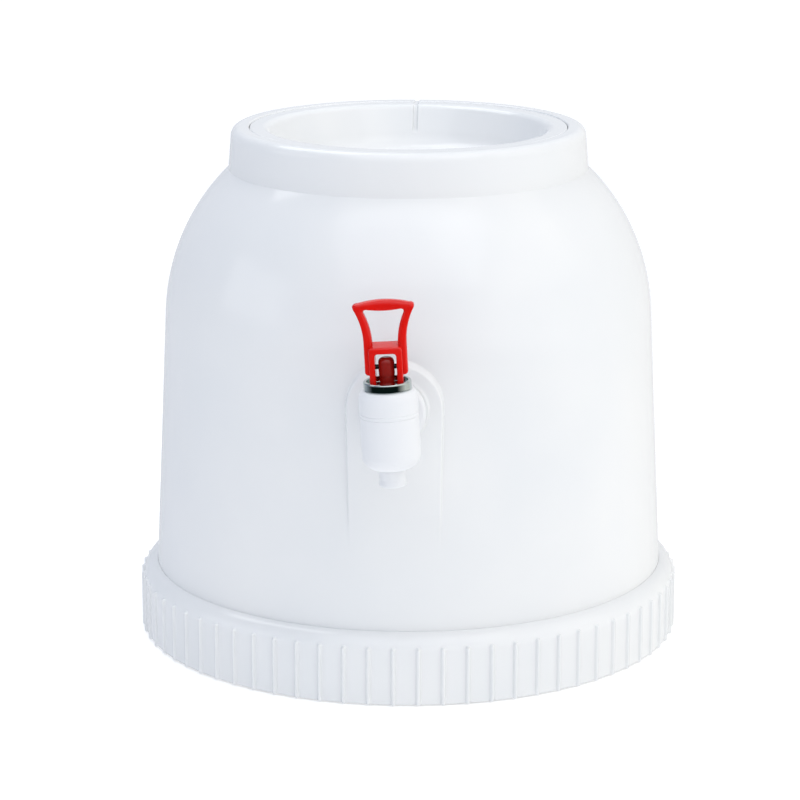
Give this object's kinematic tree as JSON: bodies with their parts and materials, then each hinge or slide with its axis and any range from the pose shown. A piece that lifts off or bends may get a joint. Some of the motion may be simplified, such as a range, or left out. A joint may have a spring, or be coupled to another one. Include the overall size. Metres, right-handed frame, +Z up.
{
  "type": "water bottle dispenser",
  "caption": "Countertop dispenser for an upturned water bottle: white domed body on a ribbed base, lift-out bottle seat, inner reservoir and a tap with a red hoop lever.",
  "frame": {"origin": "on the table, under the middle of the round base", "axes": "+Z up along the body's axis, -Y towards the tap, +X to the right of someone facing the tap"},
  "size_m": [0.29, 0.3263, 0.2708],
  "materials": {
    "white_gloss": "glossy white moulded plastic",
    "tap_white": "glossy white moulded plastic",
    "tank_plastic": "plain white food-safe plastic",
    "lever_red": "glossy red moulded plastic",
    "stem_plastic": "dark red-brown moulded plastic",
    "ring_chrome": "bright chromed ring",
    "pin_steel": "plain steel pin",
    "spring_steel": "drawn spring wire",
    "screw_steel": "zinc-plated screw",
    "silicone": "soft milky silicone",
    "rubber_black": "black rubber"
  },
  "bodies": {
    "housing": {"body_shell": "white_gloss", "base_pan": "white_gloss", "foot_ring": "rubber_black", "base_screws": "screw_steel", "reservoir": "tank_plastic", "outer_washer": "silicone", "inner_washer": "silicone", "shank_nut": "tap_white", "tap_body": "tap_white", "spout_nozzle": "tap_white", "tap_cap": "tap_white", "bonnet_ring": "ring_chrome", "stem_spring": "spring_steel"},
    "stem": {"valve_stem": "stem_plastic", "valve_plug": "silicone", "stem_seal": "rubber_black", "pivot_pin": "pin_steel"},
    "lever": {"lever": "lever_red"},
    "bottle_seat": {"bottle_seat": "white_gloss", "seat_seal": "silicone"}
  },
  "joints": [
    {"name": "stem_lift", "type": "slide", "parent": "housing", "child": "stem", "axis": [-0.0523, 0, 0.9986], "range_m": [0, 0.00159], "stiffness_N_per_m": 350, "springref_m": -0.004, "deforming": ["stem_spring"]},
    {"name": "lever_tilt", "type": "hinge", "parent": "stem", "child": "lever", "pos_m": [-0.00161, -0.16702, 0.18106], "axis": [0.9986, 0, 0.0523], "range_deg": [0, 35]},
    {"name": "seat_lift", "type": "slide", "parent": "housing", "child": "bottle_seat", "axis": [0, 0, 1], "range_m": [0, 0.12]}
  ],
  "couplings": [
    {"joint": "lever_tilt", "follows": "stem_lift", "rad_per_m": 384.6}
  ]
}
